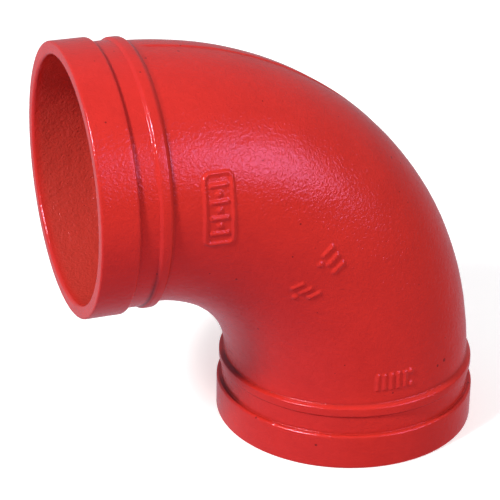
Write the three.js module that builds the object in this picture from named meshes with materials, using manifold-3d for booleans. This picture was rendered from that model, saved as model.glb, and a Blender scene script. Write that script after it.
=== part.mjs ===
// Grooved-end 90 degree pipe elbow of nominal size 100 (4 inch): one iron casting, painted red.
// Millimetres, +Z up. The outlet leg stands on its end face and the inlet leg points along -X.
// The origin is on the floor, under the middle of the casting's bounding box.

import * as THREE from "three";
import { mergeVertices } from "three/addons/utils/BufferGeometryUtils.js";
import Module from "manifold-3d";

// Standard sizes of the fitting and of its grooved ends.
const PIPE_DIAMETER = 114.3;
const CENTRE_TO_END = 127;
const GASKET_SEAT = 15.88;
const GROOVE_WIDTH = 8.74;
const GROOVE_DIAMETER = 110.08;

// The casting between its two ends.
const BODY_RADIUS = 53.85;
const LEG_LENGTH = 28.3;
const NECK_RADIUS = 54.15;
const BEND_BORE_RADIUS = 49;

// The edges of one end: rounded land, and the collar behind the groove.
const FACE_ROUNDING = 1.2;
const LAND_ROUNDING = 1.1;
const COLLAR_FLANK = 1;
const COLLAR_SHOULDER_RADIUS = 55.95;
const COLLAR_CREST_RADIUS = 56.1;
const COLLAR_CREST_WIDTH = 3.6;
const COLLAR_BACK_SLOPE = 1.4;

// The bore of one end, from its mouth to where the bend's own bore begins.
const MOUTH_BORE_RADIUS = 51.4;
const MOUTH_CHAMFER = 0.8;
const MOUTH_BORE_DEPTH = 24;
const BORE_TAPER_END = 46;

// Raised casting marks, on the side of the bend that faces -Y.
const MARK_HEIGHT = 0.8;
const MARK_ROOT_DEPTH = 1.5;
const BAR_WIDTH = 1.4;
const PIP_RADIUS = 1;
const FRAME_WIDTH = 12.8;
const FRAME_HEIGHT = 30;
const FRAME_LINE = 1.2;
const FRAME_ROUNDING = 3;
const FRAME_X = -43;
const FRAME_Z = 130.5;

// Facets.
const SIDES = 60;
const OUTER_BEND_STEPS = 16;
const BORE_BEND_STEPS = 10;
const BORE_TAPER_STEPS = 2;
const ROUNDING_STEPS = 2;
const PIP_SIDES = 8;

// Sizes that follow from the ones above.
const LAND_RADIUS = PIPE_DIAMETER / 2;
const GROOVE_RADIUS = GROOVE_DIAMETER / 2;
const BEND_RADIUS = CENTRE_TO_END - LEG_LENGTH;
const BEND_LENGTH = (BEND_RADIUS * Math.PI) / 2;
const PATH_LENGTH = 2 * LEG_LENGTH + BEND_LENGTH;
const OUTLET_X = (CENTRE_TO_END - LAND_RADIUS) / 2;
const BEND_CENTRE_X = OUTLET_X - BEND_RADIUS;
const COLLAR_START = GASKET_SEAT + GROOVE_WIDTH - COLLAR_FLANK / 2;
const CREST_START = COLLAR_START + COLLAR_FLANK;
const CREST_END = CREST_START + COLLAR_CREST_WIDTH;
const NECK_START = CREST_END + COLLAR_BACK_SLOPE;

const wasm = await Module();
wasm.setup();

// The pipe's centre, and the direction away from the bend's own centre, at a distance along the
// centre line from the outlet's end face.
function sectionAt(distance) {
  const intoBend = distance - LEG_LENGTH;
  if (intoBend <= 0) {
    return {
      centre: new THREE.Vector3(OUTLET_X, 0, distance),
      outward: new THREE.Vector3(1, 0, 0),
    };
  }
  if (intoBend < BEND_LENGTH) {
    const turn = intoBend / BEND_RADIUS;
    const outward = new THREE.Vector3(Math.cos(turn), 0, Math.sin(turn));
    const centre = new THREE.Vector3(BEND_CENTRE_X, 0, LEG_LENGTH);
    return { centre: centre.addScaledVector(outward, BEND_RADIUS), outward };
  }
  return {
    centre: new THREE.Vector3(BEND_CENTRE_X - (intoBend - BEND_LENGTH), 0, CENTRE_TO_END),
    outward: new THREE.Vector3(0, 0, 1),
  };
}

// A closed skin of rings. Each station is [distance, radius], and the last joins back to the first.
function skinOfRings(stations) {
  const positions = [];
  for (const [distance, radius] of stations) {
    const { centre, outward } = sectionAt(distance);
    for (let side = 0; side < SIDES; side++) {
      const angle = (2 * Math.PI * side) / SIDES;
      const point = centre.clone().addScaledVector(outward, radius * Math.cos(angle));
      positions.push(point.x, point.y + radius * Math.sin(angle), point.z);
    }
  }
  const faces = [];
  stations.forEach((_, ring) => {
    const nextRing = (ring + 1) % stations.length;
    for (let side = 0; side < SIDES; side++) {
      const nextSide = (side + 1) % SIDES;
      const a = ring * SIDES + side;
      const b = ring * SIDES + nextSide;
      const c = nextRing * SIDES + nextSide;
      const d = nextRing * SIDES + side;
      faces.push(a, b, c, a, c, d);
    }
  });
  const geometry = new THREE.BufferGeometry();
  geometry.setAttribute("position", new THREE.Float32BufferAttribute(positions, 3));
  geometry.setIndex(faces);
  return geometry;
}

function toSolid(geometry) {
  const bare = geometry.clone();
  bare.deleteAttribute("normal");
  bare.deleteAttribute("uv");
  const merged = mergeVertices(bare, 1e-4);
  const mesh = new wasm.Mesh({
    numProp: 3,
    vertProperties: merged.attributes.position.array,
    triVerts: new Uint32Array(merged.index.array),
  });
  return new wasm.Manifold(mesh);
}

function toGeometry(solid) {
  const { vertProperties, triVerts } = solid.getMesh();
  const geometry = new THREE.BufferGeometry();
  geometry.setAttribute("position", new THREE.BufferAttribute(vertProperties, 3));
  geometry.setIndex(new THREE.BufferAttribute(triVerts, 1));
  const flat = geometry.toNonIndexed();
  flat.computeVertexNormals();
  return flat;
}

// The stations of a convex rounded edge, a quarter circle between two directions.
function roundedEdge(centreDistance, centreRadius, rounding, fromDegrees, toDegrees) {
  return Array.from({ length: ROUNDING_STEPS + 1 }, (_, step) => {
    const degrees = fromDegrees + ((toDegrees - fromDegrees) * step) / ROUNDING_STEPS;
    const angle = THREE.MathUtils.degToRad(degrees);
    return [
      centreDistance + rounding * Math.cos(angle),
      centreRadius + rounding * Math.sin(angle),
    ];
  });
}

// One end's outside, from its face inwards: land, groove, collar and neck.
function endOutside() {
  return [
    ...roundedEdge(FACE_ROUNDING, LAND_RADIUS - FACE_ROUNDING, FACE_ROUNDING, 180, 90),
    ...roundedEdge(GASKET_SEAT - LAND_ROUNDING, LAND_RADIUS - LAND_ROUNDING, LAND_ROUNDING, 90, 0),
    [GASKET_SEAT, GROOVE_RADIUS],
    [COLLAR_START, GROOVE_RADIUS],
    [CREST_START, COLLAR_SHOULDER_RADIUS],
    [(CREST_START + CREST_END) / 2, COLLAR_CREST_RADIUS],
    [CREST_END, COLLAR_SHOULDER_RADIUS],
    [NECK_START, NECK_RADIUS],
  ];
}

// One end's bore, from its mouth inwards, easing into the narrower bore of the bend.
function endBore() {
  const taper = Array.from({ length: BORE_TAPER_STEPS }, (_, step) => {
    const part = (step + 1) / BORE_TAPER_STEPS;
    const distance = THREE.MathUtils.lerp(MOUTH_BORE_DEPTH, BORE_TAPER_END, part);
    const eased = THREE.MathUtils.smoothstep(part, 0, 1);
    return [distance, THREE.MathUtils.lerp(MOUTH_BORE_RADIUS, BEND_BORE_RADIUS, eased)];
  });
  return [
    [0, MOUTH_BORE_RADIUS + MOUTH_CHAMFER],
    [MOUTH_CHAMFER, MOUTH_BORE_RADIUS],
    [MOUTH_BORE_DEPTH, MOUTH_BORE_RADIUS],
    ...taper,
  ];
}

// Evenly spaced stations of one radius between, and not on, two distances.
function evenStations(from, to, steps, radius) {
  return Array.from({ length: steps - 1 }, (_, step) => [
    THREE.MathUtils.lerp(from, to, (step + 1) / steps),
    radius,
  ]);
}

// A stretch from the outlet's face to the inlet's, given one end's stations and the bend's.
function faceToFace(end, bend) {
  const otherEnd = end.map(([distance, radius]) => [PATH_LENGTH - distance, radius]).reverse();
  return [...end, ...bend, ...otherEnd];
}

function bendOutside(radius) {
  return evenStations(NECK_START, PATH_LENGTH - NECK_START, OUTER_BEND_STEPS, radius);
}

function bendBore() {
  const end = PATH_LENGTH - BORE_TAPER_END;
  return evenStations(BORE_TAPER_END, end, BORE_BEND_STEPS, BEND_BORE_RADIUS);
}

function pipeWall() {
  const outside = faceToFace(endOutside(), bendOutside(BODY_RADIUS));
  const bore = faceToFace(endBore(), bendBore());
  return toSolid(skinOfRings([...outside, ...bore.reverse()]));
}

// The thin layer over the bend that a mark fills: just under its surface to the mark's own top.
function markLayer() {
  const top = bendOutside(BODY_RADIUS + MARK_HEIGHT);
  const root = bendOutside(BODY_RADIUS - MARK_ROOT_DEPTH);
  return toSolid(skinOfRings([...top, ...root.reverse()]));
}

function roundedRectangle(width, height, rounding) {
  const x = width / 2;
  const y = height / 2;
  const shape = new THREE.Shape();
  shape.moveTo(-x + rounding, -y);
  shape.lineTo(x - rounding, -y);
  shape.absarc(x - rounding, -y + rounding, rounding, -Math.PI / 2, 0);
  shape.absarc(x - rounding, y - rounding, rounding, 0, Math.PI / 2);
  shape.absarc(-x + rounding, y - rounding, rounding, Math.PI / 2, Math.PI);
  shape.absarc(-x + rounding, -y + rounding, rounding, Math.PI, 1.5 * Math.PI);
  return shape;
}

// A mark's blank runs from the bend's plane out through the wall on the -Y side.
function frameMark() {
  const shape = roundedRectangle(FRAME_WIDTH, FRAME_HEIGHT, FRAME_ROUNDING);
  const inner = FRAME_ROUNDING - FRAME_LINE;
  const opening = roundedRectangle(FRAME_WIDTH - 2 * FRAME_LINE, FRAME_HEIGHT - 2 * FRAME_LINE, inner);
  shape.holes.push(new THREE.Path(opening.getPoints(1).reverse()));
  const geometry = new THREE.ExtrudeGeometry(shape, {
    depth: LAND_RADIUS,
    bevelEnabled: false,
    curveSegments: 1,
  });
  geometry.rotateX(Math.PI / 2);
  geometry.translate(FRAME_X, 0, FRAME_Z);
  return toSolid(geometry);
}

// The middles of a row of equal marks.
function rowPlaces({ x, z, count, stepX, stepZ }) {
  return Array.from({ length: count }, (_, index) => {
    const place = index - (count - 1) / 2;
    return [x + place * stepX, -LAND_RADIUS / 2, z + place * stepZ];
  });
}

function barRow(row) {
  return rowPlaces(row).map((place) => {
    const geometry = new THREE.BoxGeometry(row.length, LAND_RADIUS, BAR_WIDTH);
    geometry.rotateY(-THREE.MathUtils.degToRad(row.degrees));
    geometry.translate(...place);
    return toSolid(geometry);
  });
}

function pipRow(row) {
  return rowPlaces(row).map((place) => {
    const geometry = new THREE.CylinderGeometry(PIP_RADIUS, PIP_RADIUS, LAND_RADIUS, PIP_SIDES);
    geometry.translate(...place);
    return toSolid(geometry);
  });
}

// A frame round four bars with a pip between each two, and three loose groups of bars and pips.
function castingMarks() {
  const framedBars = { x: FRAME_X, z: FRAME_Z, count: 4, stepX: 0, stepZ: -6.6, length: 7.6, degrees: 0 };
  const framedPips = { x: FRAME_X, z: FRAME_Z, count: 3, stepX: 0, stepZ: -6.6 };
  const upperBars = { x: 5.6, z: 101.6, count: 3, stepX: 2.4, stepZ: -4, length: 6.4, degrees: 43 };
  const upperPip = { x: 0.2, z: 100.2, count: 1, stepX: 0, stepZ: 0 };
  const lowerBars = { x: -5, z: 88.2, count: 3, stepX: 3.6, stepZ: -2.5, length: 5.6, degrees: 27 };
  const lowerPip = { x: -9, z: 85.2, count: 1, stepX: 0, stepZ: 0 };
  const outletBars = { x: 34.3, z: 39.9, count: 5, stepX: 3.15, stepZ: 0, length: 7.4, degrees: 90 };
  const outletPips = { x: 43.2, z: 40, count: 2, stepX: 0, stepZ: 6 };
  const solids = [
    frameMark(),
    ...[framedBars, upperBars, lowerBars, outletBars].flatMap(barRow),
    ...[framedPips, upperPip, lowerPip, outletPips].flatMap(pipRow),
  ];
  return solids.reduce((all, one) => all.add(one)).intersect(markLayer());
}

const redPaint = new THREE.MeshStandardMaterial({ color: 0xc9302f, roughness: 0.35, metalness: 0 });

function elbowCasting() {
  const mesh = new THREE.Mesh(toGeometry(pipeWall().add(castingMarks())), redPaint);
  mesh.name = "elbow_casting";
  return mesh;
}

const elbow = new THREE.Group();
elbow.add(elbowCasting());

export default elbow;
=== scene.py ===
"""Grooved-end 90 degree pipe elbow of nominal size 100, one iron casting painted red.

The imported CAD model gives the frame, and this script gives the casting its fine surface and paint.
Sizes of the casting are in millimetres, and Blender's own units are metres.
"""

import math

import bpy
import numpy as np
from mathutils import Matrix, Vector, noise


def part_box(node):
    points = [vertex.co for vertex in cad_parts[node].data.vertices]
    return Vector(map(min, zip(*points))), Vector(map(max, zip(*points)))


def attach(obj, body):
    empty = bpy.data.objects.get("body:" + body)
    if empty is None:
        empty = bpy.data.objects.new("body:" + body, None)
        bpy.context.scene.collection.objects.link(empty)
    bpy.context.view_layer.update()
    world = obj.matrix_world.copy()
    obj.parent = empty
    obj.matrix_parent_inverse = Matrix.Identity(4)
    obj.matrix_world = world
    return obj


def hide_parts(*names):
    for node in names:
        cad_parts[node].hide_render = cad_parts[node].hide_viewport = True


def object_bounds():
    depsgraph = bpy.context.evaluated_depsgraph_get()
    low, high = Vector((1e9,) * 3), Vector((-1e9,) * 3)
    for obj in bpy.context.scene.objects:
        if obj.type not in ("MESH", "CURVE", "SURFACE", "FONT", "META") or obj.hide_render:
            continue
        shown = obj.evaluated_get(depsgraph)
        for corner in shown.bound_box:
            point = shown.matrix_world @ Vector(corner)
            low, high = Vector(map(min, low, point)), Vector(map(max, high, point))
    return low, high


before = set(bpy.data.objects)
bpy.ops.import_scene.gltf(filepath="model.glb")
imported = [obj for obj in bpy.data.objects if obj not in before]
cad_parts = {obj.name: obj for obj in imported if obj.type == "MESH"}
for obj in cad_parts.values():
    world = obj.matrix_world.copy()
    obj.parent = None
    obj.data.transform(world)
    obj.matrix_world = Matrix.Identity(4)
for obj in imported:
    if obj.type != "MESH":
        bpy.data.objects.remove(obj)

cad_low, cad_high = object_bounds()

MM = 0.001
NODE = "elbow_casting"

# Sizes read from the frame.
node_low, node_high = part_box(NODE)
LAND_RADIUS = (node_high.y - node_low.y) / 2 / MM
CENTRE_TO_END = (node_high.z - node_low.z) / MM - LAND_RADIUS
OUTLET_X = node_high.x / MM - LAND_RADIUS

# Sizes of the casting and of its two alike ends, as in the CAD source.
GASKET_SEAT = 15.88
GROOVE_WIDTH = 8.74
GROOVE_RADIUS = 110.08 / 2
BODY_RADIUS = 53.85
LEG_LENGTH = 28.3
NECK_RADIUS = 54.15
BEND_BORE_RADIUS = 49.0
LAND_ROUNDING = 1.1
COLLAR_FLANK = 1.0
COLLAR_CREST_WIDTH = 3.6
COLLAR_BACK_SLOPE = 1.4
MOUTH_BORE_RADIUS = 51.4
MOUTH_BORE_DEPTH = 24.0
BORE_TAPER_END = 46.0

# Sizes that differ a little from the CAD source's, and the rounding of what it leaves sharp.
FACE_ROUNDING = 0.9
MOUTH_ROUNDING = 1.4
COLLAR_RADIUS = 56.15
GROOVE_CORNER = 0.25
COLLAR_FOOT = 0.6
COLLAR_SHOULDER = 1.0
COLLAR_CREST = 1.0
NECK_CREASE = 0.5
NECK_EASE = 12.0
SLOW_CHANGE = 30.0

# Sizes that follow from the ones above. Distances are along the centre line, from an end's face.
BEND_RADIUS = CENTRE_TO_END - LEG_LENGTH
BEND_CENTRE = np.array([OUTLET_X - BEND_RADIUS, 0, LEG_LENGTH])
PATH_LENGTH = 2 * LEG_LENGTH + BEND_RADIUS * math.pi / 2
COLLAR_START = GASKET_SEAT + GROOVE_WIDTH - COLLAR_FLANK / 2
CREST_START = COLLAR_START + COLLAR_FLANK
CREST_END = CREST_START + COLLAR_CREST_WIDTH
NECK_START = CREST_END + COLLAR_BACK_SLOPE

# Raised casting marks, as in the CAD source but with soft sides, which rise from foot to top.
MARK_HEIGHT = 0.8
MARK_FOOT = 0.9
MARK_TOP = -0.7
BAR_WIDTH = 1.4
BAR_ROUNDING = 0.4
PIP_RADIUS = 1.0
FRAME_WIDTH = 12.8
FRAME_HEIGHT = 30.0
FRAME_LINE = 1.2
FRAME_ROUNDING = 3.0
FRAME_X = -43.0
FRAME_Z = 130.5

# The two halves of the mould meet just behind the bend's plane, and don't quite match.
PARTING_Y = 2.2
NEAR_HALF_SINK = 0.3
FAR_HALF_RISE = 0.1
LEDGE_REACH = 0.2
PARTING_REACH = 30.0
INNER_PARTING = 0.25
INNER_BLEND = 0.5
PARTING_BEGINS = LEG_LENGTH + BEND_RADIUS * math.radians(38)
PARTING_WHOLE = LEG_LENGTH + BEND_RADIUS * math.radians(66)

# The cast skin's lumps, as (size, place in the noise), and how far they stand off each surface.
SWELL = (26, 3.1)
LUMPS = (9, 7.7)
GRAIN = (4, 1.3)
BODY_SWELL = 0.13
BODY_LUMPS = 0.06
BODY_GRAIN = 0.03
BODY_SKIN_EASE = 5.0
END_UNEVENNESS = 0.012
BORE_LUMPS = 0.16
BORE_GRAIN = 0.12
ROUGH_BORE_BEGINS = 0.8
ROUGH_BORE_WHOLE = 5.0

# Painted shade: the paint is darkened in the corners, where shade falls: a little all round, a lot inside
# the bend by the outlet, and in a thin line at the foot of the inlet's collar. FULL and NONE are in degrees
# from the bend's inside.
CREASE_BELOW_LAND = 1.0
CREASE_REACH = 1.0
CREASE_SHADE_DEPTH = 0.32
BEND_SHADE_REACH = 3.2
BEND_SHADE_DEPTH = 1.0
BEND_SHADE_FULL = 5
BEND_SHADE_NONE = 17
FOOT_SHADE_REACH = 0.6
FOOT_SHADE_FULL = 50
FOOT_SHADE_NONE = 72

# Fineness of the surface. The seam's sizes are in degrees round the pipe from the parting line.
SIDES = 252
SEAM_STEPS = (-0.8, -0.2, 0.2, 0.8)
SEAM_GAP = 1.1
OUTSIDE_SPACING = 1.35
BORE_SPACING = 3.2
ARC_STEP = math.radians(15)
MARK_FINENESS = 4
MARK_MARGIN = 1.7
LEVEL_RUN = 0.9


def direction(azimuth, elevation):
    """Unit vector away from the casting, for degrees. Azimuth 0 is in front, at -Y, and 90 at +X."""
    azimuth = math.radians(azimuth)
    elevation = math.radians(elevation)
    level = math.cos(elevation)
    return Vector((math.sin(azimuth) * level, -math.cos(azimuth) * level, math.sin(elevation)))


def new_object(name, data):
    made = bpy.data.objects.new(name, data)
    bpy.context.scene.collection.objects.link(made)
    return made


# ---------------------------------------------------------------- camera

# The camera is aimed at the foot of the outlet's axis, then moved left and up without turning. Sizes are
# in degrees and metres, but the lens and the sensor are in millimetres.
CAMERA_AZIMUTH = -19.985
CAMERA_ELEVATION = 26.084
CAMERA_ROLL = -0.869
CAMERA_DISTANCE = 0.93755
CAMERA_LEFT = 0.041861
CAMERA_UP = 0.068646
CAMERA_LENS = 148.97
CAMERA_SENSOR = 36
CAMERA_CLIP_START = 0.05
CAMERA_CLIP_END = 50


def add_camera():
    back = direction(CAMERA_AZIMUTH, CAMERA_ELEVATION)
    level_right = direction(CAMERA_AZIMUTH + 90, 0)
    roll = Matrix.Rotation(-math.radians(CAMERA_ROLL), 3, back)
    right = roll @ level_right
    up = roll @ back.cross(level_right)
    aim = Vector((OUTLET_X * MM, 0, node_low.z))
    place = aim + back * CAMERA_DISTANCE - right * CAMERA_LEFT + up * CAMERA_UP
    data = bpy.data.cameras.new("camera")
    data.sensor_width = CAMERA_SENSOR
    data.lens = CAMERA_LENS
    data.clip_start = CAMERA_CLIP_START
    data.clip_end = CAMERA_CLIP_END
    camera = new_object("camera", data)
    turn = Matrix((right, up, back)).transposed()
    camera.matrix_world = Matrix.Translation(place) @ turn.to_4x4()
    bpy.context.scene.camera = camera


# ---------------------------------------------------------------- wall profile


def rounded_profile(corners):
    """Stations [distance, radius, tangent, tangent] along corners given as (distance, radius, rounding)."""
    stations = []
    points = np.array([corner[:2] for corner in corners], float)
    for index, (_, _, rounding) in enumerate(corners):
        here = points[index]
        if index in (0, len(corners) - 1):
            run = points[1] - here if index == 0 else here - points[-2]
            stations.append([*here, *(run / np.linalg.norm(run))])
            continue
        ahead = points[index + 1] - here
        behind = here - points[index - 1]
        ahead /= np.linalg.norm(ahead)
        behind /= np.linalg.norm(behind)
        cross = behind[0] * ahead[1] - behind[1] * ahead[0]
        side = math.copysign(1, cross)
        turn = math.acos(max(-1, min(1, float(behind @ ahead))))
        start = here - behind * rounding * math.tan(turn / 2)
        inward = side * np.array([-behind[1], behind[0]])
        centre = start + rounding * inward
        steps = max(2, math.ceil(turn / ARC_STEP))
        for step in range(steps + 1):
            angle = side * turn * step / steps
            cos, sin = math.cos(angle), math.sin(angle)
            spin = np.array([[cos, -sin], [sin, cos]])
            point = centre - spin @ inward * rounding
            stations.append([*point, *(spin @ behind)])
    return stations


def spaced(stations):
    """The same stations with more of them along the straight runs."""
    dense = [stations[0]]
    for before, after in zip(stations, stations[1:]):
        before, after = np.array(before), np.array(after)
        run = np.linalg.norm(after[:2] - before[:2])
        deep_in_bore = min(before[0], after[0]) > MOUTH_BORE_DEPTH and before[2] < 0
        spacing = BORE_SPACING if deep_in_bore else OUTSIDE_SPACING
        steps = max(1, math.ceil(run / spacing))
        dense += [before + (after - before) * step / steps for step in range(1, steps + 1)]
    return dense


def wall_profile():
    """A closed tour of the wall: bend's bore, outlet mouth, outside, inlet mouth, and back."""
    middle = PATH_LENGTH / 2
    corners = [
        (middle, BEND_BORE_RADIUS, 0),
        (BORE_TAPER_END, BEND_BORE_RADIUS, SLOW_CHANGE),
        (MOUTH_BORE_DEPTH, MOUTH_BORE_RADIUS, SLOW_CHANGE),
        (0, MOUTH_BORE_RADIUS, MOUTH_ROUNDING),
        (0, LAND_RADIUS, FACE_ROUNDING),
        (GASKET_SEAT, LAND_RADIUS, LAND_ROUNDING),
        (GASKET_SEAT, GROOVE_RADIUS, GROOVE_CORNER),
        (COLLAR_START, GROOVE_RADIUS, COLLAR_FOOT),
        (CREST_START, COLLAR_RADIUS, COLLAR_SHOULDER),
        (CREST_END, COLLAR_RADIUS, COLLAR_CREST),
        (NECK_START, NECK_RADIUS, NECK_CREASE),
        (NECK_START + NECK_EASE, BODY_RADIUS, SLOW_CHANGE),
        (middle, BODY_RADIUS, 0),
    ]
    half = np.array(spaced(rounded_profile(corners)))
    other = half[::-1] * [-1, 1, 1, -1] + [PATH_LENGTH, 0, 0, 0]
    return np.concatenate([half, other[1:-1]])


def section_angles():
    """Angles round the pipe from the bend's outside towards +Y, closer together at the parting."""
    even = np.arange(SIDES) * 360 / SIDES - 180
    parting = math.degrees(math.asin(PARTING_Y / BODY_RADIUS))
    seams = np.array([parting, 180 - parting])
    kept = even[np.abs(even[:, None] - seams).min(axis=1) > SEAM_GAP]
    close = (seams[:, None] + np.array(SEAM_STEPS)).ravel()
    return np.radians(np.sort(np.concatenate([kept, close])))


def surface(profile, angles):
    """Points and outward normals of the wall for profile rows and angles of the same length."""
    distance, radius, run, rise = profile.T
    turn = np.clip((distance - LEG_LENGTH) / BEND_RADIUS, 0, math.pi / 2)
    zero = np.zeros_like(turn)
    outward = np.stack([np.cos(turn), zero, np.sin(turn)], axis=1)
    along = np.stack([-np.sin(turn), zero, np.cos(turn)], axis=1)
    overrun = distance - LEG_LENGTH - BEND_RADIUS * turn
    centre = BEND_CENTRE + BEND_RADIUS * outward + overrun[:, None] * along
    radial = np.cos(angles)[:, None] * outward + np.sin(angles)[:, None] * [0, 1, 0]
    bending = (turn > 0) & (turn < math.pi / 2)
    stretch = 1 + bending * radius * np.cos(angles) / BEND_RADIUS
    normal = (run * stretch)[:, None] * radial - rise[:, None] * along
    normal /= np.linalg.norm(normal, axis=1)[:, None]
    return centre + radius[:, None] * radial, normal


# ---------------------------------------------------------------- raised marks


def row_places(x, z, count, step_x, step_z):
    """Places of a row of marks, with its middle at x, z."""
    middle = (count - 1) / 2
    return [(x + (i - middle) * step_x, z + (i - middle) * step_z) for i in range(count)]


def mark_bars():
    """Bars as (x, z, length, degrees), from rows of (x, z, count, step_x, step_z, length, degrees)."""
    rows = [
        (FRAME_X, FRAME_Z, 4, 0, -6.6, 7.6, 0),
        (5.6, 101.6, 3, 2.4, -4, 6.4, 43),
        (-5, 88.2, 3, 3.6, -2.5, 5.6, 27),
        (34.3, 39.9, 5, 3.15, 0, 7.4, 90),
    ]
    return [(*place, length, degrees) for *row, length, degrees in rows for place in row_places(*row)]


def mark_pips():
    """Pips as (x, z), from rows of (x, z, count, step_x, step_z)."""
    rows = [
        (FRAME_X, FRAME_Z, 3, 0, -6.6),
        (0.2, 100.2, 1, 0, 0),
        (-9, 85.2, 1, 0, 0),
        (43.2, 40, 2, 0, 6),
    ]
    return [place for row in rows for place in row_places(*row)]


def box_distance(x, z, half_width, half_height, rounding):
    """Signed distance to a rounded rectangle centred on the origin."""
    across = np.abs(x) - half_width + rounding
    up = np.abs(z) - half_height + rounding
    outside = np.hypot(np.maximum(across, 0), np.maximum(up, 0))
    return outside + np.minimum(np.maximum(across, up), 0) - rounding


def mark_distance(points):
    """Signed distance from each point to the nearest mark, seen from -Y, and infinite on the far side."""
    x, y, z = points.T
    edge = box_distance(x - FRAME_X, z - FRAME_Z, FRAME_WIDTH / 2, FRAME_HEIGHT / 2, FRAME_ROUNDING)
    nearest = np.abs(edge + FRAME_LINE / 2) - FRAME_LINE / 2
    for bar_x, bar_z, length, degrees in mark_bars():
        cos, sin = math.cos(math.radians(degrees)), math.sin(math.radians(degrees))
        along = (x - bar_x) * cos + (z - bar_z) * sin
        across = (z - bar_z) * cos - (x - bar_x) * sin
        bar = box_distance(along, across, length / 2, BAR_WIDTH / 2, BAR_ROUNDING)
        nearest = np.minimum(nearest, bar)
    for pip_x, pip_z in mark_pips():
        nearest = np.minimum(nearest, np.hypot(x - pip_x, z - pip_z) - PIP_RADIUS)
    return np.where(y < 0, nearest, math.inf)


# ---------------------------------------------------------------- casting surface


def smoothstep(low, high, value):
    part = np.clip((value - low) / (high - low), 0, 1)
    return part * part * (3 - 2 * part)


def noise_of(points, size, shift):
    """Smooth noise from about -1 to 1, with lumps of that size."""
    offset = Vector((shift, 2 * shift, 3 * shift))
    return np.array([noise.noise(Vector(point) / size + offset) for point in points])


def distance_from_end(distance):
    return np.minimum(distance, PATH_LENGTH - distance)


def parting_height(distance, angles, y):
    """How far each half of the mould lets the body stand off, most at the parting line."""
    far_half = smoothstep(PARTING_Y - LEDGE_REACH, PARTING_Y + LEDGE_REACH, y)
    fading = 1 - smoothstep(0, PARTING_REACH, np.abs(y - PARTING_Y))
    outer_side = smoothstep(-INNER_BLEND, INNER_BLEND, np.cos(angles))
    fading *= INNER_PARTING + (1 - INNER_PARTING) * outer_side
    fading *= smoothstep(PARTING_BEGINS, PARTING_WHOLE, distance)
    return fading * (FAR_HALF_RISE * far_half - NEAR_HALF_SINK * (1 - far_half))


def surface_heights(points, profile, angles):
    """How far each point stands off its nominal shape, and how far it is rough bore and cast body."""
    distance, _, run, _ = profile.T
    from_end = distance_from_end(distance)
    bore = np.clip(-run, 0, 1)
    rough_bore = bore * smoothstep(ROUGH_BORE_BEGINS, ROUGH_BORE_WHOLE, from_end)
    body = np.clip(run, 0, 1) * smoothstep(NECK_START, NECK_START + BODY_SKIN_EASE, from_end)
    swell = noise_of(points, *SWELL)
    lumps = noise_of(points, *LUMPS)
    grain = noise_of(points, *GRAIN)
    height = body * (BODY_SWELL * swell + BODY_LUMPS * lumps + BODY_GRAIN * grain)
    height += END_UNEVENNESS * (1 - body) * (1 - bore) * (lumps + grain - 1)
    height += rough_bore * (BORE_LUMPS * lumps + BORE_GRAIN * grain)
    height += body * parting_height(distance, angles, points[:, 1])
    height += body * MARK_HEIGHT * smoothstep(MARK_FOOT, MARK_TOP, mark_distance(points))
    return height, rough_bore, body


def near_inside(angles, full, none):
    """1 up to full degrees from the bend's inside, fading to 0 at none degrees from it."""
    return smoothstep(math.cos(math.radians(none)), math.cos(math.radians(full)), -np.cos(angles))


def painted_shade_depth(points, profile, angles):
    """How dark the painted shade is in the corners of the groove, collar and neck, from 0 to 1."""
    distance, radius, run, _ = profile.T
    from_end = distance_from_end(distance)
    at_outlet = distance < PATH_LENGTH / 2
    in_groove = radius < LAND_RADIUS - CREASE_BELOW_LAND
    corner = np.where(in_groove, np.abs(from_end - GASKET_SEAT), BEND_SHADE_REACH)
    corner = np.minimum(corner, np.abs(from_end - NECK_START))
    # Painted shade, deepest inside the bend by the outlet.
    bend_shade = at_outlet * near_inside(angles, BEND_SHADE_FULL, BEND_SHADE_NONE)
    reach = CREASE_REACH + (BEND_SHADE_REACH - CREASE_REACH) * bend_shade
    depth = CREASE_SHADE_DEPTH + (BEND_SHADE_DEPTH - CREASE_SHADE_DEPTH) * bend_shade
    dark = depth * (1 - smoothstep(0, 1, corner / reach))
    # A thin line of painted shade at the foot of the inlet's collar, on its near side.
    foot_shade = 1 - smoothstep(0, FOOT_SHADE_REACH, np.abs(from_end - COLLAR_START))
    foot_shade *= near_inside(angles, FOOT_SHADE_FULL, FOOT_SHADE_NONE)
    foot_shade *= ~at_outlet & (points[:, 1] < 0)
    outside = 1 - np.clip(-run, 0, 1)
    return outside * np.maximum(dark, foot_shade)


def grid_faces(rows, columns, fine):
    """Faces over a closed grid, as lists of lattice keys; the cells of fine are split small."""
    split = MARK_FINENESS
    between = range(1, split)
    faces = []

    def key(row, column):
        return (row % (rows * split), column % (columns * split))

    def small_faces(top, left):
        return [
            [
                key(top + i, left + j),
                key(top + i, left + j + 1),
                key(top + i + 1, left + j + 1),
                key(top + i + 1, left + j),
            ]
            for i in range(split)
            for j in range(split)
        ]

    for row in range(rows):
        for column in range(columns):
            top, left = row * split, column * split
            bottom, right = top + split, left + split
            if (row, column) in fine:
                faces += small_faces(top, left)
                continue
            fine_above = (row - 1, column) in fine
            fine_right = (row, (column + 1) % columns) in fine
            fine_below = (row + 1, column) in fine
            fine_left = (row, (column - 1) % columns) in fine
            face = [key(top, left)]
            face += [key(top, left + j) for j in between] if fine_above else []
            face += [key(top, right)]
            face += [key(top + i, right) for i in between] if fine_right else []
            face += [key(bottom, right)]
            face += [key(bottom, right - j) for j in between] if fine_below else []
            face += [key(bottom, left)]
            face += [key(bottom - i, left) for i in between] if fine_left else []
            faces.append(face)
    return faces


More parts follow.
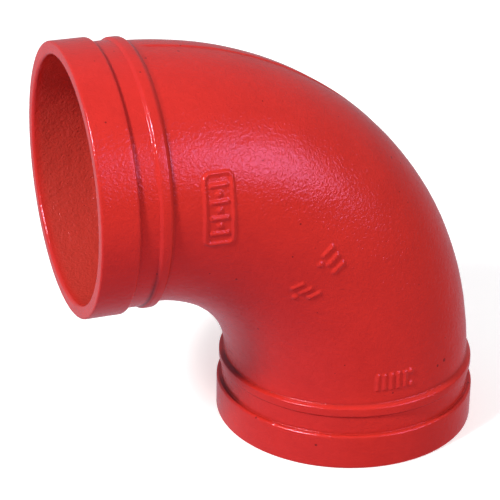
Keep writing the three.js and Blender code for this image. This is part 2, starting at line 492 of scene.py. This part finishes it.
def marked_cells(profile, angles):
    """Cells (row, column) of the coarse grid that lie close to a mark, on the level outside."""
    rows, columns = len(profile), len(angles)
    points, _ = surface(np.repeat(profile, columns, axis=0), np.tile(angles, rows))
    close = mark_distance(points).reshape(rows, columns) < MARK_MARGIN
    close &= (profile[:, 2] > LEVEL_RUN)[:, None]
    return {(int(row), int(column)) for row, column in zip(*np.nonzero(close))}


def on_lattice(keys, profile, angles):
    """Profile rows and angles at the lattice keys, also between the coarse grid's lines."""
    places = np.array(keys) / MARK_FINENESS
    row, column = np.floor(places).astype(int).T
    part = (places[:, 0] - row)[:, None]
    spots = profile[row] * (1 - part) + profile[(row + 1) % len(profile)] * part
    wrapped = np.append(angles, angles[0] + 2 * math.pi)
    part = places[:, 1] - column
    around = wrapped[column] * (1 - part) + wrapped[column + 1] * part
    return spots, around


def elbow_mesh():
    profile = wall_profile()
    angles = section_angles()
    faces = grid_faces(len(profile), len(angles), marked_cells(profile, angles))
    order = {}
    for face in faces:
        for key in face:
            order.setdefault(key, len(order))
    spots, around = on_lattice(list(order), profile, angles)
    points, normals = surface(spots, around)
    # Painted shade in the corners, kept as an attribute for the paint.
    painted_shade = painted_shade_depth(points, spots, around)
    height, bore, body = surface_heights(points, spots, around)
    points += normals * height[:, None]
    points = np.clip(points, np.array(cad_low) / MM, np.array(cad_high) / MM)
    mesh = bpy.data.meshes.new("cast_elbow")
    mesh.from_pydata((points * MM).tolist(), [], [[order[key] for key in face] for face in faces])
    for name, values in (("bore", bore), ("body", body), ("painted_shade", painted_shade)):
        attribute = mesh.attributes.new(name, "FLOAT", "POINT")
        attribute.data.foreach_set("value", values.astype(np.float32))
    mesh.shade_smooth()
    mesh.update()
    mesh.validate()
    return mesh


# ---------------------------------------------------------------- shader nodes

# Places of the colour sockets among a Mix node's inputs and outputs.
MIX_FIRST = 6
MIX_SECOND = 7
MIX_RESULT = 2


class Nodes:
    """Short calls that add shader nodes to a new material or world and link them."""

    def __init__(self, owner):
        self.owner = owner
        owner.use_nodes = True
        self.tree = owner.node_tree
        self.tree.nodes.clear()

    def put(self, value, socket):
        """Link the value to the socket if it comes from a node, and set it there if it doesn't."""
        if isinstance(value, bpy.types.NodeSocket):
            self.tree.links.new(value, socket)
        else:
            socket.default_value = value

    def add(self, kind, inputs=(), **settings):
        made = self.tree.nodes.new(kind)
        for name, value in settings.items():
            setattr(made, name, value)
        for name, value in dict(inputs).items():
            self.put(value, made.inputs[name])
        return made

    def math(self, operation, a, b, clamp=False):
        return self.add("ShaderNodeMath", {0: a, 1: b}, operation=operation, use_clamp=clamp).outputs[0]

    def noise(self, where, scale, detail, roughness=0.5, distortion=0.0):
        inputs = {
            "Vector": where,
            "Scale": scale,
            "Detail": detail,
            "Roughness": roughness,
            "Distortion": distortion,
        }
        return self.add("ShaderNodeTexNoise", inputs).outputs["Fac"]

    def spread(self, value, low, high, to_low, to_high):
        inputs = {
            "Value": value,
            "From Min": low,
            "From Max": high,
            "To Min": to_low,
            "To Max": to_high,
        }
        return self.add("ShaderNodeMapRange", inputs).outputs["Result"]

    def mix(self, part, first, second):
        inputs = {"Factor": part, MIX_FIRST: first, MIX_SECOND: second}
        return self.add("ShaderNodeMix", inputs, data_type="RGBA").outputs[MIX_RESULT]

    def bump(self, height, distance, **under):
        inputs = {"Height": height, "Distance": distance, "Strength": 1.0, **under}
        return self.add("ShaderNodeBump", inputs).outputs["Normal"]

    def attribute(self, name):
        return self.add("ShaderNodeAttribute", attribute_name=name).outputs["Fac"]


# ---------------------------------------------------------------- paint

PAINT_RED = (0.67, 0.032, 0.023, 1)
PAINT_DEEP = (0.575, 0.026, 0.019, 1)
PAINT_BORE = (0.60, 0.058, 0.042, 1)
# The colour of the painted shade in the corners.
PAINTED_SHADE_COLOUR = (0.22, 0.016, 0.012, 1)
# The colour of the painted shade in the pits.
PAINTED_PIT_SHADE = (0.13, 0.012, 0.010, 1)
SHEEN_TINT = (1.0, 0.46, 1.0, 1)
SHEEN_LEVEL = 1.0
PAINT_IOR = 1.25

# The paint's noises, with scales in waves per metre, and the part of their range that is spread out.
CLOUD = {"scale": 45, "detail": 3}
MOTTLE = {"scale": 260, "detail": 3, "roughness": 0.6}
WRINKLE = {"scale": 680, "detail": 2, "distortion": 0.7}
PEEL = {"scale": 950, "detail": 1}
GRIT = {"scale": 900, "detail": 3, "roughness": 0.65}
PIT_PATCHES = {"scale": 60, "detail": 1}
CLOUD_RANGE = (0.3, 0.7)
BLOTCH_RANGE = (0.35, 0.75)
ROUGHNESS_RANGE = (0.3, 0.7)
PIT_RANGE = (0.5, 0.75)
PIT_SCALE = 210
PIT_SIZE = 0.16

# How strong each colour, roughness and height is. Bump heights are in metres.
CLOUD_SHADE = 0.55
BLOTCH_LIGHT = -0.1
BLOTCH_SHADE = 0.3
BORE_COLOUR_PART = 0.8
PIT_SHADE_PART = 0.7
SMOOTHEST = 0.14
ROUGHEST = 0.20
BORE_ROUGHNESS = 0.06
END_WRINKLES = 1.1
BODY_WRINKLES = 1.3
BORE_WRINKLES = 0.6
BORE_GRIT = 1.1
PIT_DEPTH = 0.6
WRINKLE_HEIGHT = 0.00019
PEEL_HEIGHT = 0.00009


def paint_pits(nodes, where):
    """1 in the small pits, which gather in patches, and 0 elsewhere."""
    spots = nodes.add("ShaderNodeTexVoronoi", {"Vector": where, "Scale": PIT_SCALE}).outputs["Distance"]
    size = nodes.spread(nodes.noise(where, **PIT_PATCHES), *PIT_RANGE, 0.0, PIT_SIZE)
    return nodes.math("LESS_THAN", spots, size)


def paint_colour(nodes, where, bore, mottle, pit):
    clouds = nodes.spread(nodes.noise(where, **CLOUD), *CLOUD_RANGE, 0.0, CLOUD_SHADE)
    blotches = nodes.spread(mottle, *BLOTCH_RANGE, BLOTCH_LIGHT, BLOTCH_SHADE)
    colour = nodes.mix(nodes.math("ADD", clouds, blotches, clamp=True), PAINT_RED, PAINT_DEEP)
    colour = nodes.mix(nodes.math("MULTIPLY", bore, BORE_COLOUR_PART), colour, PAINT_BORE)
    # Painted shade in the corners.
    colour = nodes.mix(nodes.attribute("painted_shade"), colour, PAINTED_SHADE_COLOUR)
    # Painted shade in the pits.
    return nodes.mix(nodes.math("MULTIPLY", pit, PIT_SHADE_PART), colour, PAINTED_PIT_SHADE)


def paint_roughness(nodes, bore, mottle):
    rough = nodes.spread(mottle, *ROUGHNESS_RANGE, SMOOTHEST, ROUGHEST)
    return nodes.math("ADD", rough, nodes.math("MULTIPLY", bore, BORE_ROUGHNESS))


def paint_relief(nodes, where, bore, pit):
    """The normal of the wrinkles, the bore's grit and the pits, with fine peel over them."""
    wrinkles = nodes.spread(nodes.attribute("body"), 0, 1, END_WRINKLES, BODY_WRINKLES)
    wrinkles = nodes.math("ADD", wrinkles, nodes.math("MULTIPLY", bore, BORE_WRINKLES))
    height = nodes.math("MULTIPLY", nodes.noise(where, **WRINKLE), wrinkles)
    grit = nodes.math("MULTIPLY", nodes.noise(where, **GRIT), bore)
    height = nodes.math("ADD", height, nodes.math("MULTIPLY", grit, BORE_GRIT))
    height = nodes.math("SUBTRACT", height, nodes.math("MULTIPLY", pit, PIT_DEPTH))
    wrinkled = nodes.bump(height, WRINKLE_HEIGHT)
    return nodes.bump(nodes.noise(where, **PEEL), PEEL_HEIGHT, Normal=wrinkled)


def red_paint():
    """Sprayed enamel over a sand-cast skin: wrinkled, lightly pitted, rougher in the bore, with painted
    shade in its corners and pits.
    """
    nodes = Nodes(bpy.data.materials.new("red_paint"))
    where = nodes.add("ShaderNodeTexCoord").outputs["Object"]
    bore = nodes.attribute("bore")
    mottle = nodes.noise(where, **MOTTLE)
    pit = paint_pits(nodes, where)
    shader = nodes.add(
        "ShaderNodeBsdfPrincipled",
        {
            "Base Color": paint_colour(nodes, where, bore, mottle, pit),
            "Roughness": paint_roughness(nodes, bore, mottle),
            "IOR": PAINT_IOR,
            "Specular IOR Level": SHEEN_LEVEL,
            "Specular Tint": SHEEN_TINT,
            "Normal": paint_relief(nodes, where, bore, pit),
        },
    )
    nodes.add("ShaderNodeOutputMaterial", {"Surface": shader.outputs["BSDF"]})
    return nodes.owner


def add_elbow():
    mesh = elbow_mesh()
    mesh.materials.append(red_paint())
    elbow = new_object("cast_elbow", mesh)
    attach(elbow, "root")
    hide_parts("elbow_casting")


# ---------------------------------------------------------------- floor

FLOOR_HALF_SIZE = 12.0
FLOOR_GAP = 0.0002
FLOOR_COLOUR = (0.9, 0.9, 0.9, 1)
FLOOR_ROUGHNESS = 0.85
FLOOR_TOOTH = {"scale": 300, "detail": 2}
FLOOR_TOOTH_HEIGHT = 0.00002
FLOOR_GLOW_COLOUR = (1, 1, 1, 1)
FLOOR_GLOW = 0.5


def floor_paper():
    nodes = Nodes(bpy.data.materials.new("floor_paper"))
    where = nodes.add("ShaderNodeTexCoord").outputs["Object"]
    shader = nodes.add(
        "ShaderNodeBsdfPrincipled",
        {
            "Base Color": FLOOR_COLOUR,
            "Roughness": FLOOR_ROUGHNESS,
            "Normal": nodes.bump(nodes.noise(where, **FLOOR_TOOTH), FLOOR_TOOTH_HEIGHT),
            "Emission Color": FLOOR_GLOW_COLOUR,
            "Emission Strength": FLOOR_GLOW,
        },
    )
    nodes.add("ShaderNodeOutputMaterial", {"Surface": shader.outputs["BSDF"]})
    return nodes.owner


def add_floor():
    half, level = FLOOR_HALF_SIZE, node_low.z - FLOOR_GAP
    mesh = bpy.data.meshes.new("floor")
    corners = [(-half, -half, level), (half, -half, level), (half, half, level), (-half, half, level)]
    mesh.from_pydata(corners, [], [(0, 1, 2, 3)])
    mesh.materials.append(floor_paper())
    floor = new_object("floor", mesh)
    # The tent's lower side lights the casting in place of the floor, which would be too bright there.
    floor.visible_diffuse = False
    floor.visible_glossy = False


# ---------------------------------------------------------------- light

WHITE = (1, 1, 1)
PALE_YELLOW = (1.0, 1.0, 0.5)

# Area lights as (name, azimuth, elevation, distance, width, height, power, colour), in degrees, metres
# and watts.
SOFTBOXES = [
    ("key_left", -66, 40, 1.6, 0.22, 0.22, 20.2, WHITE),
    ("soft_right", 38, 27, 1.8, 1.4, 1.0, 11.3, WHITE),
    ("soft_core", 40, 25, 1.8, 0.7, 0.6, 4.8, WHITE),
]

# Area lights that only show as reflections in the paint. The sheen's tint holds back their green, and
# the key's own colour holds back its blue as much, so that its glints don't come out purple.
SHINES = [
    ("key_shine", -66, 40, 1.6, 0.22, 0.22, 62.0, PALE_YELLOW),
    ("soft_shine", 40, 26, 1.8, 0.8, 0.7, 3.0, WHITE),
]

# The light from each side of the tent, as (direction, colour). A side lights by the cosine of the angle
# from it. The light from below is the floor's, reddened by the casting that stands over it.
TENT_SIDES = [
    ((1, 0, 0), (0.11, 0.11, 0.11)),
    ((-1, 0, 0), (0.39, 0.39, 0.39)),
    ((0, 1, 0), (0.31, 0.27, 0.31)),
    ((0, -1, 0), (0.05, 0.05, 0.05)),
    ((0, 0, 1), (0.22, 0.22, 0.22)),
    ((0, 0, -1), (0.65, 0.28, 0.34)),
]


def add_softbox(name, azimuth, elevation, distance, width, height, power, colour):
    """An area light aimed at the middle of the casting."""
    away = direction(azimuth, elevation)
    data = bpy.data.lights.new(name, "AREA")
    data.shape = "RECTANGLE"
    data.size = width
    data.size_y = height
    data.energy = power
    data.color = colour
    light = new_object(name, data)
    light.location = (cad_low + cad_high) / 2 + away * distance
    light.rotation_euler = away.to_track_quat("Z", "Y").to_euler()
    return light


def add_tent():
    nodes = Nodes(bpy.data.worlds.new("white_tent"))
    towards = nodes.add("ShaderNodeTexCoord").outputs["Generated"]
    light = (0, 0, 0)
    for side, colour in TENT_SIDES:
        facing = nodes.add("ShaderNodeVectorMath", {0: towards, 1: side}, operation="DOT_PRODUCT")
        facing = nodes.math("MAXIMUM", facing.outputs["Value"], 0)
        part = nodes.add("ShaderNodeVectorMath", {0: colour, "Scale": facing}, operation="SCALE")
        total = nodes.add("ShaderNodeVectorMath", {0: part.outputs[0], 1: light}, operation="ADD")
        light = total.outputs[0]
    background = nodes.add("ShaderNodeBackground", {"Color": light})
    nodes.add("ShaderNodeOutputWorld", {"Surface": background.outputs[0]})
    bpy.context.scene.world = nodes.owner


add_camera()
add_elbow()
add_floor()
add_tent()
for softbox in SOFTBOXES:
    add_softbox(*softbox)
for shine in SHINES:
    add_softbox(*shine).visible_diffuse = False
bpy.context.scene.view_settings.view_transform = "Standard"
